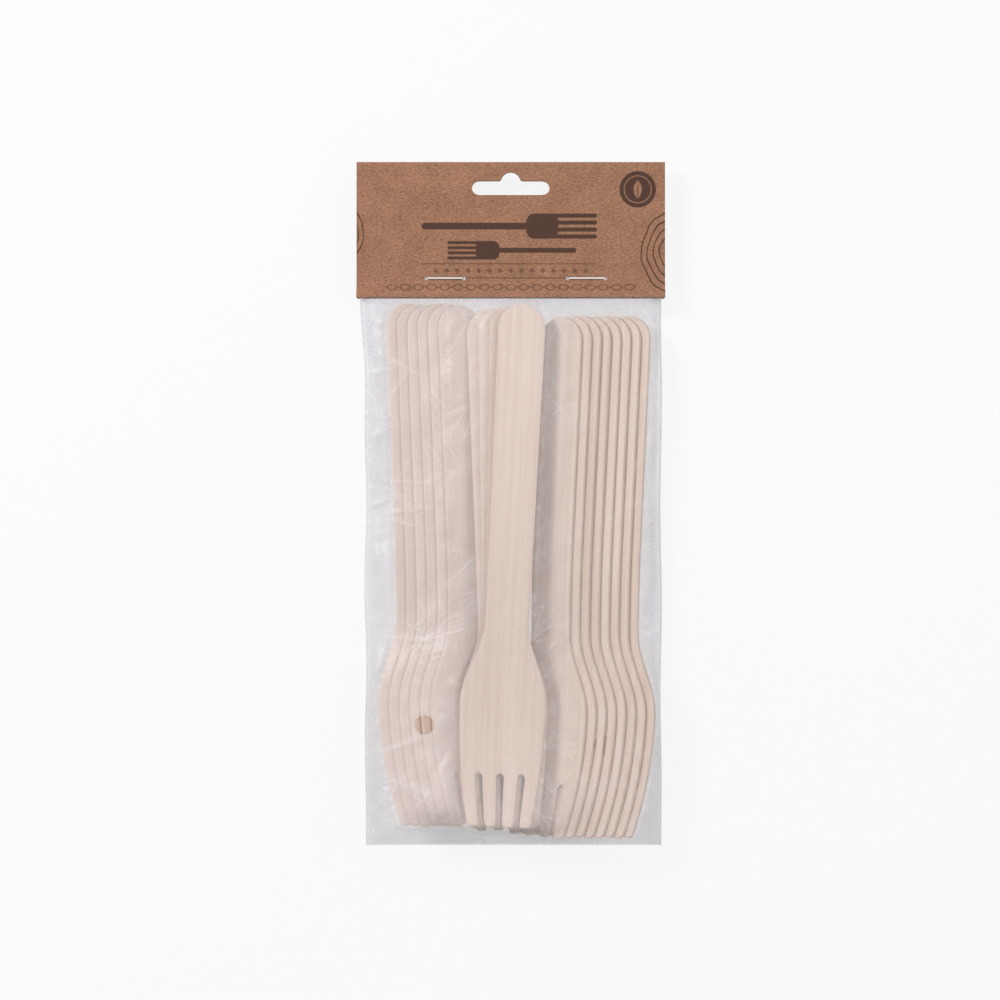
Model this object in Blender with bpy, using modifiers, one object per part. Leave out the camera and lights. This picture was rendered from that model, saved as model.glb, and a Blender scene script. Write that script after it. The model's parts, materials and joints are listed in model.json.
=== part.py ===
"""A hanging pack of eighteen wooden forks in a clear film bag, closed by a stapled header card.

The pack lies on its back: +X is its right, +Y points to the header card, +Z out of its front.
Sizes are in metres.
"""

import math

import bmesh
import bpy
from mathutils import Euler, Matrix, Vector
from mathutils.bvhtree import BVHTree

MM = 0.001

# Header card
CARD_WIDTH = 98.2 * MM
CARD_HEIGHT = 43.3 * MM
CARD_THICKNESS = 0.35 * MM
CARD_TOP = 108.8 * MM
CARD_MID_HEIGHT = 7.5 * MM
CARD_FLARE = 2.2 * MM
FLARE_STEPS = 3
FLARE_POWER = 1.5
FLARE_BELOW_STAPLE = 0.9 * MM
FOLD_STEPS = 5

# Hang slot through both panels of the card
SLOT_WIDTH = 24.8 * MM
SLOT_HEIGHT = 4.5 * MM
SLOT_TO_FOLD = 6.1 * MM
ARCH_RADIUS = 3.1 * MM
ARCH_RISE = 2.8 * MM
ARCH_FILLET = 1.0 * MM
ARC_STEPS = 6

# Staples
STAPLE_CROWN = 12.4 * MM
STAPLE_WIRE = 0.6 * MM
STAPLE_BEND = 0.7 * MM
STAPLE_CLINCH = 4.6 * MM
STAPLE_TO_EDGE = 6.2 * MM
STAPLE_CENTRES = {"staple_left": -20.9 * MM, "staple_right": 24.1 * MM}
STAPLE_LIFT = 0.15 * MM
BEND_STEPS = 3

# Film bag
FILM = 0.12 * MM
BAG_WIDTH = 95.8 * MM
MOUTH_TO_FOLD = 16.9 * MM
BAG_SIDE_ROOM = 0.9 * MM
LEFT_PULL = 1.8 * MM
PULL_LENGTH = 30.0 * MM
SHOULDER_INSET = 1.5 * MM
SEAM_SHARE = 0.6
BOTTOM_SEAM_HEIGHT = 8.0 * MM
FOLD_ROOM = 3.2 * MM
END_GAP = 0.5 * MM
LAYER_GAP = 0.3 * MM
FRONT_COLUMNS = 14
BACK_COLUMNS = 6
FORK_ROWS = 22
POINT_PITCH = 3.0 * MM

# Two vents punched in the front layer of the film
VENT_DIAMETER = 6.0 * MM
VENT_CENTRES = ((-27.2 * MM, -69.6 * MM), (29.0 * MM, -76.0 * MM))
VENT_LOW = 13.5 * MM
VENT_SIDES = 16

# Cutters
CUT_DEPTH = 3.0 * MM
PIERCE_GAP = 0.3 * MM
HOLE_SIDES = 8

# One fork, flat sizes along its length from the handle end
FORK_LENGTH = 165.0 * MM
FORK_THICKNESS = 1.3 * MM
HANDLE_END_WIDTH = 15.0 * MM
NECK_WIDTH = 13.6 * MM
HEAD_WIDTH = 27.0 * MM
TIP_WIDTH = 19.6 * MM
NECK_AT = 101.0 * MM
HEAD_AT = 126.0 * MM
TINE_ROOT_AT = 148.5 * MM
TIP_GAP = 2.0 * MM
TINE_POINT = 1.6 * MM
TINE_CHAMFER = 0.2
TINES = 4
ROOT_ARC_STEPS = 4
HANDLE_ARC_STEPS = 5
NECK_STEPS = 5
HEAD_STEPS = 3

# Side profile of a fork: the bowl dips below the handle and the tips rise above it
BOWL_DIP = 2.2 * MM
TIP_RISE = 2.8 * MM
DIP_STARTS_AT = 76.0 * MM
BOWL_AT = 126.0 * MM
NECK_BENDS = 5
BOWL_BENDS = 6
FLAT_LIMIT = math.radians(0.05)

# How the forks lie
DECK_ROLL = math.radians(32.0)
DECK_PITCH = math.radians(-1.7)
RIGHT_YAW = math.radians(-2.4)
LEFT_YAW = math.radians(1.9)
RIGHT_COUNT = 8
LEFT_COUNT = 6
NEST_GAP = 0.3 * MM
LEFT_SLACK = 0.1 * MM
VALLEY_GAP = 3.7 * MM
VALLEY_X = -0.5 * MM
RIGHT_TO_CARD = 5.9 * MM
LEFT_TO_CARD = 2.2 * MM
DECK_STAGGER = 0.16 * MM
STACK_ROLL = math.radians(5.0)
STACK_PITCH = math.radians(-3.6)
STACK_YAWS = [math.radians(a) for a in (1.9, 0.4, -1.2, -2.8)]
STACK_X = [x * MM for x in (-4.0, -2.2, -0.8, -0.2)]
STACK_TO_CARD = [gap * MM for gap in (3.4, 3.0, 2.6, 2.0)]
DROP_GAP = 0.36 * MM

WOOD = ((0.72, 0.56, 0.45, 1.0), 0.6, 0.0)
KRAFT = ((0.33, 0.17, 0.10, 1.0), 0.8, 0.0)
CLEAR_FILM = ((0.85, 0.85, 0.88, 0.35), 0.25, 0.0)
STEEL = ((0.75, 0.75, 0.76, 1.0), 0.25, 1.0)


def clear_scene():
    for old in list(bpy.data.objects):
        bpy.data.objects.remove(old, do_unlink=True)


def new_collection(name):
    collection = bpy.data.collections.new(name)
    bpy.context.scene.collection.children.link(collection)
    return collection


def new_material(name, finish):
    colour, roughness, metallic = finish
    material = bpy.data.materials.new(name)
    material.use_nodes = True
    shader = material.node_tree.nodes["Principled BSDF"]
    shader.inputs["Base Color"].default_value = colour
    shader.inputs["Roughness"].default_value = roughness
    shader.inputs["Metallic"].default_value = metallic
    shader.inputs["Alpha"].default_value = colour[3]
    return material


def add_object(name, data, collection, material=None):
    obj = bpy.data.objects.new(name, data)
    if material and not data.materials:
        data.materials.append(material)
    collection.objects.link(obj)
    return obj


def mesh_from(bm, name):
    mesh = bpy.data.meshes.new(name)
    bmesh.ops.recalc_face_normals(bm, faces=bm.faces)
    bm.to_mesh(mesh)
    bm.free()
    return mesh


def smoothstep(t):
    t = min(max(t, 0.0), 1.0)
    return t * t * (3.0 - 2.0 * t)


def mix(a, b, t):
    return a + (b - a) * t


def even_steps(low, high, steps):
    return [mix(low, high, i / steps) for i in range(steps + 1)]


def arc(centre, radius, start, end, steps):
    """Points along an arc of a circle, angles in degrees."""
    angles = [math.radians(mix(start, end, i / steps)) for i in range(steps + 1)]
    return [(centre[0] + radius * math.cos(a), centre[1] + radius * math.sin(a)) for a in angles]


# The fork

def fork_half_width(s):
    """Half the fork's flat width at the distance s from the handle end."""
    end_radius = HANDLE_END_WIDTH / 2
    if s < end_radius:
        return math.sqrt(max(end_radius ** 2 - (end_radius - s) ** 2, 0.0))
    if s < NECK_AT:
        return mix(end_radius, NECK_WIDTH / 2, (s - end_radius) / (NECK_AT - end_radius))
    if s < HEAD_AT:
        return mix(NECK_WIDTH / 2, HEAD_WIDTH / 2, smoothstep((s - NECK_AT) / (HEAD_AT - NECK_AT)))
    t = (s - HEAD_AT) / (FORK_LENGTH - HEAD_AT)
    return mix(HEAD_WIDTH / 2, TIP_WIDTH / 2, t * t)


def fork_rise(s):
    """Height of the fork's middle surface above its handle, at the distance s from the end."""
    if s < DIP_STARTS_AT:
        return 0.0
    if s < BOWL_AT:
        return -BOWL_DIP * smoothstep((s - DIP_STARTS_AT) / (BOWL_AT - DIP_STARTS_AT))
    t = (s - BOWL_AT) / (FORK_LENGTH - BOWL_AT)
    return -BOWL_DIP + (BOWL_DIP + TIP_RISE) * t * t


def fork_stations():
    """Distances from the handle end at which the outline has points."""
    end_radius = HANDLE_END_WIDTH / 2
    turns = [math.radians(90.0 * i / HANDLE_ARC_STEPS) for i in range(1, HANDLE_ARC_STEPS + 1)]
    stations = [end_radius * (1.0 - math.cos(a)) for a in turns]
    stations += [mix(NECK_AT, HEAD_AT, i / NECK_STEPS) for i in range(NECK_STEPS + 1)]
    stations += [mix(HEAD_AT, FORK_LENGTH, i / HEAD_STEPS) for i in range(1, HEAD_STEPS)]
    return stations


def tine_edges():
    """Left and right edge of each tine at the tips; the tines fan out from there to their roots."""
    tine = (TIP_WIDTH - (TINES - 1) * TIP_GAP) / TINES
    pitch = tine + TIP_GAP
    return [(-TIP_WIDTH / 2 + i * pitch, -TIP_WIDTH / 2 + i * pitch + tine) for i in range(TINES)]


def fork_outline():
    """The flat outline, from the handle end down the right side, along the tines and back up."""
    half = FORK_LENGTH / 2
    side = [(fork_half_width(s), half - s) for s in fork_stations()]
    shoulder = FORK_LENGTH - TINE_POINT
    tines = []
    edges = tine_edges()
    fan = fork_half_width(TINE_ROOT_AT) / (TIP_WIDTH / 2)
    root_radius = fan * TIP_GAP / 2
    root = half - TINE_ROOT_AT - root_radius
    for i, (left, right) in enumerate(edges):
        narrow = (right - left) * TINE_CHAMFER
        tines += [(left, half - shoulder), (left + narrow, -half)]
        tines += [(right - narrow, -half), (right, half - shoulder)]
        if i < TINES - 1:
            middle = fan * (right + edges[i + 1][0]) / 2
            tines += arc((middle, root), root_radius, 180.0, 0.0, ROOT_ARC_STEPS)
    return [(0.0, half)] + side + tines[::-1] + [(-x, y) for x, y in reversed(side)]


def fork_mesh():
    """The outline filled, cut across where the side profile bends, and bent."""
    bm = bmesh.new()
    corners = [bm.verts.new((x, y, 0.0)) for x, y in fork_outline()]
    bm.faces.new(corners)
    bmesh.ops.triangulate(bm, faces=bm.faces[:])
    half = FORK_LENGTH / 2
    bends = even_steps(DIP_STARTS_AT, BOWL_AT, NECK_BENDS)
    bends += even_steps(BOWL_AT, FORK_LENGTH, BOWL_BENDS)[1:-1]
    for s in bends:
        everything = bm.verts[:] + bm.edges[:] + bm.faces[:]
        bmesh.ops.bisect_plane(bm, geom=everything, dist=1e-7,
                               plane_co=(0.0, half - s, 0.0), plane_no=(0.0, 1.0, 0.0))
    for vert in bm.verts:
        vert.co.z = fork_rise(half - vert.co.y)
    bmesh.ops.dissolve_limit(bm, angle_limit=FLAT_LIMIT, verts=bm.verts[:],
                             edges=bm.edges[:])
    bmesh.ops.recalc_face_normals(bm, faces=bm.faces)
    if sum(face.normal.z for face in bm.faces) < 0.0:
        bmesh.ops.reverse_faces(bm, faces=bm.faces[:])
    mesh = bpy.data.meshes.new("fork")
    bm.to_mesh(mesh)
    bm.free()
    return mesh


def evaluated_bmesh(obj):
    """The object's mesh in world space, with its modifiers."""
    depsgraph = bpy.context.evaluated_depsgraph_get()
    bm = bmesh.new()
    bm.from_object(obj, depsgraph)
    bm.transform(obj.matrix_world)
    return bm


def add_fork(name, mesh, collection, roll, pitch, yaw, place):
    """A fork turned about its length, then its width, then the vertical."""
    obj = add_object(name, mesh, collection)
    turn = Euler((0.0, 0.0, yaw)).to_matrix() @ Euler((pitch, 0.0, 0.0)).to_matrix()
    turn = turn @ Euler((0.0, roll, 0.0)).to_matrix()
    obj.rotation_euler = turn.to_euler()
    obj.location = place
    thicken(obj, FORK_THICKNESS, 0.0)
    bpy.context.view_layer.update()
    return obj


def lowest_point(obj):
    bm = evaluated_bmesh(obj)
    low = min(vert.co.z for vert in bm.verts)
    bm.free()
    return low


def drop_height(obj, below):
    """How far obj can go straight down before it meets one of the objects below."""
    upper = evaluated_bmesh(obj)
    upper_tree = BVHTree.FromBMesh(upper)
    down = Vector((0.0, 0.0, -1.0))
    room = []
    for other in below:
        lower = evaluated_bmesh(other)
        lower_tree = BVHTree.FromBMesh(lower)
        hits = [lower_tree.ray_cast(vert.co, down)[3] for vert in upper.verts]
        hits += [upper_tree.ray_cast(vert.co, -down)[3] for vert in lower.verts]
        room += [distance for distance in hits if distance is not None]
        lower.free()
    upper.free()
    return min(room)


def add_forks(collection, material):
    """Both leaning decks on the bag's back, then the stack dropped into the valley between."""
    mesh = fork_mesh()
    mesh.materials.append(material)
    steepest = (fork_rise(FORK_LENGTH) - fork_rise(FORK_LENGTH - MM)) / MM
    nest = (FORK_THICKNESS + NEST_GAP) / math.cos(math.atan(steepest))
    reach = HEAD_WIDTH / 2 * math.cos(DECK_ROLL)
    floor = FILM + DROP_GAP
    forks = []

    def add_deck(side, count, yaw, end_to_card, step):
        for i in range(count):
            x = VALLEY_X + side * (VALLEY_GAP / 2 + reach + i * step)
            y = card_edge() - end_to_card - FORK_LENGTH / 2 + DECK_STAGGER * (i % 3)
            place = Vector((x, y, 0.0))
            name = f"fork_{len(forks) + 1:02d}"
            fork = add_fork(name, mesh, collection, -side * DECK_ROLL, DECK_PITCH, yaw, place)
            fork.location.z += floor - lowest_point(fork)
            forks.append(fork)

    add_deck(-1, LEFT_COUNT, LEFT_YAW, LEFT_TO_CARD, (nest + LEFT_SLACK) / math.sin(DECK_ROLL))
    add_deck(1, RIGHT_COUNT, RIGHT_YAW, RIGHT_TO_CARD, nest / math.sin(DECK_ROLL))
    bpy.context.view_layer.update()

    above = FORK_LENGTH
    for yaw, x, end_to_card in zip(STACK_YAWS, STACK_X, STACK_TO_CARD):
        name = f"fork_{len(forks) + 1:02d}"
        place = Vector((x, card_edge() - end_to_card - FORK_LENGTH / 2, above))
        fork = add_fork(name, mesh, collection, STACK_ROLL, STACK_PITCH, yaw, place)
        fork.location.z -= drop_height(fork, forks) - DROP_GAP
        bpy.context.view_layer.update()
        forks.append(fork)
    return forks


# The film bag

def evaluated_points(obj):
    """The object's corners and points a few millimetres apart along its edges."""
    bm = evaluated_bmesh(obj)
    found = [vert.co.copy() for vert in bm.verts]
    for edge in bm.edges:
        a, b = (vert.co for vert in edge.verts)
        steps = int((b - a).length / POINT_PITCH)
        found += [a.lerp(b, i / steps) for i in range(1, steps)]
    bm.free()
    return found


def chain(points, sign):
    """Upper (sign 1) or lower (sign -1) convex chain of points (x, z), by growing x."""
    best = {}
    for x, z in points:
        key = round(x, 6)
        best[key] = max(best.get(key, sign * z), sign * z)
    hull = []
    for x, z in sorted(best.items()):
        while len(hull) > 1:
            (x1, z1), (x2, z2) = hull[-2], hull[-1]
            if (x2 - x1) * (z - z1) - (z2 - z1) * (x - x1) < 0.0:
                break
            hull.pop()
        hull.append((x, z))
    return [(x, z * sign) for x, z in hull]


def height_on(polyline, x):
    for (x1, z1), (x2, z2) in zip(polyline, polyline[1:]):
        if x <= x2:
            return mix(z1, z2, (max(x, x1) - x1) / (x2 - x1))
    return polyline[-1][1]


def bag_side(side, y, reach):
    """Where the side weld runs: straight, drawn in on the left, and clear of the forks."""
    flat = BAG_WIDTH / 2
    if side < 0:
        flat -= LEFT_PULL * smoothstep((card_edge() - y) / PULL_LENGTH)
    return side * max(flat, side * reach + BAG_SIDE_ROOM)


def spread(points, step, low, high):
    """Each point again a step to either side, so that straight film between columns clears it."""
    return [(min(max(x + d, low), high), z) for x, z in points for d in (-step, 0.0, step)]


def bag_ring(y, left, right, seam, front, back):
    """One closed row of the bag: left weld, front columns, right weld, back columns."""
    ring = [Vector((left, y, seam))]
    ring += [Vector((x, y, z)) for x, z in front]
    ring.append(Vector((right, y, seam)))
    ring += [Vector((x, y, z)) for x, z in reversed(back)]
    return ring


def flat_row(y, middle, lift):
    """A row where the two layers lie flat, their inner faces lift away from the middle height."""
    left, right = bag_side(-1, y, 0.0), bag_side(1, y, 0.0)
    inner = (left + SHOULDER_INSET, right - SHOULDER_INSET)
    front = [(x, middle + lift) for x in even_steps(*inner, FRONT_COLUMNS - 1)]
    back = [(x, middle - lift) for x in even_steps(*inner, BACK_COLUMNS - 1)]
    return bag_ring(y, left, right, middle, front, back)


def fork_row(y, points, margin, flat_back):
    """A row around the forks within a margin of y, taut across the pack like a hull."""
    near = [p for p in points if abs(p.y - y) <= margin]
    low, high = min(p.x for p in near), max(p.x for p in near)
    left, right = bag_side(-1, y, low), bag_side(1, y, high)
    shoulder_left, shoulder_right = low - DROP_GAP, high + DROP_GAP
    step = (shoulder_right - shoulder_left) / (FRONT_COLUMNS - 1)
    tops = spread([(p.x, p.z + DROP_GAP) for p in near], step, shoulder_left, shoulder_right)
    upper = chain(tops, 1)
    columns = even_steps(shoulder_left, shoulder_right, FRONT_COLUMNS - 1)
    front = [(x, height_on(upper, x)) for x in columns]
    seam = mix(FILM, (front[0][1] + front[-1][1]) / 2, SEAM_SHARE)
    columns = even_steps(left, right, BACK_COLUMNS + 1)
    step = columns[1] - columns[0]
    bottoms = [(p.x, p.z - DROP_GAP) for p in near] + [(x, FILM) for x in flat_back]
    bottoms = spread(bottoms, step, left, right) + [(left, seam), (right, seam)]
    lower = chain(bottoms, -1)
    back = [(x, max(height_on(lower, x), FILM)) for x in columns[1:-1]]
    return bag_ring(y, left, right, seam, front, back)


def bag_rows(forks):
    """Rows from the mouth, through the header card and around the forks, to the bottom fold."""
    points = [p for fork in forks for p in evaluated_points(fork)]
    top, bottom = max(p.y for p in points), min(p.y for p in points)
    rest = min(p.z for p in points) + DROP_GAP
    on_floor = [p.x for p in points if p.z < rest]
    flat_back = (min(on_floor), max(on_floor))
    flat = LAYER_GAP / 2
    mouth = CARD_TOP - MOUTH_TO_FOLD
    rows = [flat_row(y, CARD_MID_HEIGHT, flat) for y in (mouth, flare_start())]
    rows += [flat_row(y, CARD_MID_HEIGHT, flat + lift) for y, lift in flare_stations()]
    rows.append(flat_row(card_edge() - LAYER_GAP, CARD_MID_HEIGHT, flat + CARD_FLARE))
    margin = (top - bottom) / FORK_ROWS + 2 * END_GAP
    ends = (top + END_GAP, bottom - END_GAP)
    rows += [fork_row(y, points, margin, flat_back) for y in even_steps(*ends, FORK_ROWS)]
    rows.append(flat_row(bottom - FOLD_ROOM, BOTTOM_SEAM_HEIGHT, flat))
    return rows


def film_bag(forks):
    """The sleeve lofted through its rows, closed at the bottom and open at the mouth."""
    bm = bmesh.new()
    rings = [[bm.verts.new(p) for p in row] for row in bag_rows(forks)]
    for upper, lower in zip(rings, rings[1:]):
        for i in range(len(upper)):
            j = (i + 1) % len(upper)
            bm.faces.new((upper[i], upper[j], lower[j], lower[i]))
    bm.faces.new(rings[-1])
    bmesh.ops.triangulate(bm, faces=[face for face in bm.faces if len(face.verts) == 4])
    return mesh_from(bm, "film_bag")


def add_film_bag(collection, material, forks, cutters):
    obj = add_object("film_bag", film_bag(forks), collection, material)
    thicken(obj, FILM, 1.0, even=False)
    for cutter in cutters:
        cut(obj, cutter)
    return obj


# Header card

def card_edge():
    return CARD_TOP - CARD_HEIGHT


def staple_line():
    return card_edge() + STAPLE_TO_EDGE


def flare_start():
    return staple_line() - FLARE_BELOW_STAPLE


def flare_stations():
    """Places below the staples where the panels part, with how far each one has moved."""
    steps = even_steps(0.0, 1.0, FLARE_STEPS)[1:]
    return [(mix(flare_start(), card_edge(), t), CARD_FLARE * t ** FLARE_POWER) for t in steps]


def card_offset():
    """From the middle of the header to the middle of one panel."""
    return LAYER_GAP / 2 + FILM + LAYER_GAP + CARD_THICKNESS / 2


def header_card():
    """The strip's section, from the front panel's lower edge over the fold, drawn out sideways."""
    offset = card_offset()
    front = [(y, offset + lift) for y, lift in reversed(flare_stations())]
    front.append((flare_start(), offset))
    bend = (CARD_TOP - CARD_THICKNESS / 2 - offset, 0.0)
    section = front + arc(bend, offset, 90.0, -90.0, FOLD_STEPS) + [(y, -z) for y, z in reversed(front)]
    bm = bmesh.new()
    verts = [bm.verts.new((-CARD_WIDTH / 2, y, CARD_MID_HEIGHT + z)) for y, z in section]
    edges = [bm.edges.new(pair) for pair in zip(verts, verts[1:])]
    moved = bmesh.ops.extrude_edge_only(bm, edges=edges)["geom"]
    moved = [item for item in moved if isinstance(item, bmesh.types.BMVert)]
    bmesh.ops.translate(bm, verts=moved, vec=(CARD_WIDTH, 0.0, 0.0))
    return mesh_from(bm, "header_card")


def slot_outline():
    """The hang slot: a long slot with round ends and a small arch over its middle."""
    shoulder = CARD_TOP - SLOT_TO_FOLD
    end_radius = SLOT_HEIGHT / 2
    end = (SLOT_WIDTH / 2 - end_radius, shoulder - end_radius)
    arch = (0.0, shoulder + ARCH_RISE - ARCH_RADIUS)
    rise = shoulder + ARCH_FILLET - arch[1]
    run = math.sqrt((ARCH_RADIUS + ARCH_FILLET) ** 2 - rise ** 2)
    lean = math.degrees(math.atan2(rise, run))
    right = arc(end, end_radius, -90.0, 90.0, ARC_STEPS)
    right += arc((run, shoulder + ARCH_FILLET), ARCH_FILLET, -90.0, -180.0 + lean, ARC_STEPS // 2)
    right += arc(arch, ARCH_RADIUS, lean, 90.0, ARC_STEPS)[1:]
    return right + [(-x, y) for x, y in reversed(right[:-1])]


def add_slot_cutter(collection):
    bm = bmesh.new()
    low, high = CARD_MID_HEIGHT - CUT_DEPTH, CARD_MID_HEIGHT + CUT_DEPTH
    face = bm.faces.new([bm.verts.new((x, y, low)) for x, y in slot_outline()])
    moved = bmesh.ops.extrude_face_region(bm, geom=[face])["geom"]
    moved = [item for item in moved if isinstance(item, bmesh.types.BMVert)]
    bmesh.ops.translate(bm, verts=moved, vec=(0.0, 0.0, high - low))
    return as_cutter(add_object("slot_cutter", mesh_from(bm, "slot_cutter"), collection))


def as_cutter(obj):
    obj.hide_render = True
    obj.display_type = "WIRE"
    return obj


def add_round_cutter(name, collection, x, y, low, high, radius, sides):
    bm = bmesh.new()
    bmesh.ops.create_cone(bm, cap_ends=True, segments=sides, radius1=radius, radius2=radius,
                          depth=high - low, matrix=Matrix.Translation((x, y, (low + high) / 2)))
    return as_cutter(add_object(name, mesh_from(bm, name), collection))


def cut(obj, cutter):
    difference = obj.modifiers.new(cutter.name, "BOOLEAN")
    difference.operation = "DIFFERENCE"
    difference.object = cutter


def thicken(obj, thickness, offset, even=True):
    solidify = obj.modifiers.new("thickness", "SOLIDIFY")
    solidify.thickness = thickness
    solidify.offset = offset
    solidify.use_even_offset = even


def add_header_card(collection, material, cutters):
    obj = add_object("header_card", header_card(), collection, material)
    thicken(obj, CARD_THICKNESS, 0.0)
    for cutter in cutters:
        cut(obj, cutter)
    return obj


# Staples

def staple_path():
    """The bent wire seen from below: clinched end, leg, crown, leg, clinched end (x, z)."""
    half = STAPLE_CROWN / 2 - STAPLE_WIRE / 2
    top = card_offset() + CARD_THICKNESS / 2 + STAPLE_LIFT + STAPLE_WIRE / 2
    bend = min(STAPLE_BEND, top)
    right = arc((half - bend, top - bend), bend, 90.0, 0.0, BEND_STEPS)
    right += arc((half - bend, bend - top), bend, 0.0, -90.0, BEND_STEPS)
    right.append((half - STAPLE_CLINCH, -top))
    return [(-x, z) for x, z in reversed(right)] + right


def add_staple(name, x, collection, material):
    curve = bpy.data.curves.new(name, "CURVE")
    curve.dimensions = "3D"
    curve.bevel_depth = STAPLE_WIRE / 2
    curve.bevel_resolution = 2
    curve.use_fill_caps = True
    path = staple_path()
    spline = curve.splines.new("POLY")
    spline.points.add(len(path) - 1)
    for point, (px, pz) in zip(spline.points, path):
        point.co = (px, 0.0, pz, 1.0)
    obj = add_object(name, curve, collection, material)
    obj.location = (x, staple_line(), CARD_MID_HEIGHT)
    return obj


def add_staple_holes(collection):
    """Where the legs pierce card and film."""
    holes = []
    low, high = CARD_MID_HEIGHT - CUT_DEPTH, CARD_MID_HEIGHT + CUT_DEPTH
    leg = STAPLE_CROWN / 2 - STAPLE_WIRE / 2
    radius = STAPLE_WIRE / 2 + PIERCE_GAP
    for name, centre in STAPLE_CENTRES.items():
        for side in (-1, 1):
            label = f"{name}_hole_{side + 1}"
            holes.append(add_round_cutter(label, collection, centre + side * leg, staple_line(),
                                          low, high, radius, HOLE_SIDES))
    return holes


def add_vent_cutters(collection):
    """Two round vents through the front layer of the film, over the fork heads."""
    high = VENT_LOW + HEAD_WIDTH
    return [add_round_cutter(f"vent_{i}", collection, x, y, VENT_LOW, high, VENT_DIAMETER / 2, VENT_SIDES)
            for i, (x, y) in enumerate(VENT_CENTRES)]


def build_pack():
    clear_scene()
    parts = new_collection("wooden_cutlery_pack")
    helpers = new_collection("cutters")
    forks = add_forks(parts, new_material("birch_wood", WOOD))
    holes = add_staple_holes(helpers)
    vents = add_vent_cutters(helpers)
    add_header_card(parts, new_material("kraft_card", KRAFT), [add_slot_cutter(helpers)] + holes)
    add_film_bag(parts, new_material("clear_film", CLEAR_FILM), forks, holes + vents)
    steel = new_material("bright_wire", STEEL)
    for name, x in STAPLE_CENTRES.items():
        add_staple(name, x, parts, steel)


build_pack()
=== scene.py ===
"""A hanging pack of wooden forks: eighteen forks in a clear film bag under a kraft header card.

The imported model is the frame. The forks and the film bag are modelled again in finer detail, and
the header card and the staples get their finish. Sizes are in metres, +Z out of the pack's front.
"""

import json
import math

import bmesh
import bpy
import numpy as np
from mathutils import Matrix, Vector
from mathutils.bvhtree import BVHTree

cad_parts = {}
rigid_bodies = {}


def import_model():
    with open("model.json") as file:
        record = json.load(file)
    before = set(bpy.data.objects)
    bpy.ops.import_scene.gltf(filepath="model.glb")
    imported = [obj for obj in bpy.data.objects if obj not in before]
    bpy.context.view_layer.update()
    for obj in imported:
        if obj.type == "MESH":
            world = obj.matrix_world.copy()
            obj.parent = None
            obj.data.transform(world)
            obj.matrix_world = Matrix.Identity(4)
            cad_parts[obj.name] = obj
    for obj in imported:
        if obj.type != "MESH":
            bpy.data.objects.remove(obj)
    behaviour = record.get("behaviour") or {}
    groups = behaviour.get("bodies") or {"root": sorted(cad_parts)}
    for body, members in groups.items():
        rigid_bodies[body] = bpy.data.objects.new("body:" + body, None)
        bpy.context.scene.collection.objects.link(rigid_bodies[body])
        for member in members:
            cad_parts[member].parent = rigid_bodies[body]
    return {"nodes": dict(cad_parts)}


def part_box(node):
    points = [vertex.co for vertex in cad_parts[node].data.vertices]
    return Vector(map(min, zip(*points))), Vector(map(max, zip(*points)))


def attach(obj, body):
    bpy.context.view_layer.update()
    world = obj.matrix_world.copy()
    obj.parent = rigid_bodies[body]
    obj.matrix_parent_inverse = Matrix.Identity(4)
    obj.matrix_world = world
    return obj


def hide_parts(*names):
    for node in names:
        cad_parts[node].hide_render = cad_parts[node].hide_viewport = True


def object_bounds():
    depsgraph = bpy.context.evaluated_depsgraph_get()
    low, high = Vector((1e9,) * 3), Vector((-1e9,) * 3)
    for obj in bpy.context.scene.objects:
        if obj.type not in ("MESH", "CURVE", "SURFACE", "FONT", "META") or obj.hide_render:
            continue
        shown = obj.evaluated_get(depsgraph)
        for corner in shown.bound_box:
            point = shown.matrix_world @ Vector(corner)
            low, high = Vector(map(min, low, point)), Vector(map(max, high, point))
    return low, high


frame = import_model()

bl_info = {
    "name": "Wooden cutlery pack",
    "version": (1, 0, 0),
    "blender": (4, 5, 0),
    "location": "3D View > Sidebar > Cutlery pack",
    "description": "Forks, film bag, printed header card and staples for a hanging pack",
    "category": "Object",
}

CAD_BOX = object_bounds()
BODY = "root"
MM = 0.001
NEAR = 0.01 * MM
WHITE = (1.0, 1.0, 1.0, 1.0)

# One fork, flat, measured along its length from the handle end
FORK_LENGTH = 165.0 * MM
FORK_THICKNESS = 1.3 * MM
HANDLE_END_RADIUS = 7.5 * MM
HANDLE_END_FLAT = 1.4 * MM
NECK_WIDTH = 13.6 * MM
HEAD_WIDTH = 27.0 * MM
TIP_WIDTH = 19.6 * MM
NECK_AT = 101.0 * MM
HEAD_AT = 126.0 * MM
TINE_ROOT_AT = 148.5 * MM
TIP_GAP = 2.0 * MM
TINES = 4
TIP_ROUNDING = ((1.6 * MM, 1.0), (0.7 * MM, 0.92), (0.2 * MM, 0.78), (0.0, 0.6))
BOWL_DIP = 2.2 * MM
TIP_RISE = 2.8 * MM
DIP_STARTS_AT = 76.0 * MM
BOWL_AT = 126.0 * MM
GRAIN_SHIFT = (0.041, 0.230, 0.013)

# How the forks lie, as roll about their length, pitch about their width and yaw
LEFT_DECK = (6, math.radians(32.0), math.radians(-1.7), math.radians(1.9))
RIGHT_DECK = (8, math.radians(-32.0), math.radians(-1.7), math.radians(-2.4))
STACK_ROLL = math.radians(5.0)
STACK_PITCH = math.radians(-3.6)
STACK_YAWS = [math.radians(a) for a in (1.9, 0.4, -1.2, -2.8)]

# Header card
CARD_EDGE = 65.5 * MM
CARD_MID_HEIGHT = 7.5 * MM
CARD_FLARE = 2.2 * MM
FLARE_START = 70.8 * MM
STAPLE_LINE = 71.7 * MM
STAPLE_LEGS = [x * MM for x in (-26.8, -15.0, 18.2, 30.0)]
LEG_ROOM = 0.9 * MM

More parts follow.
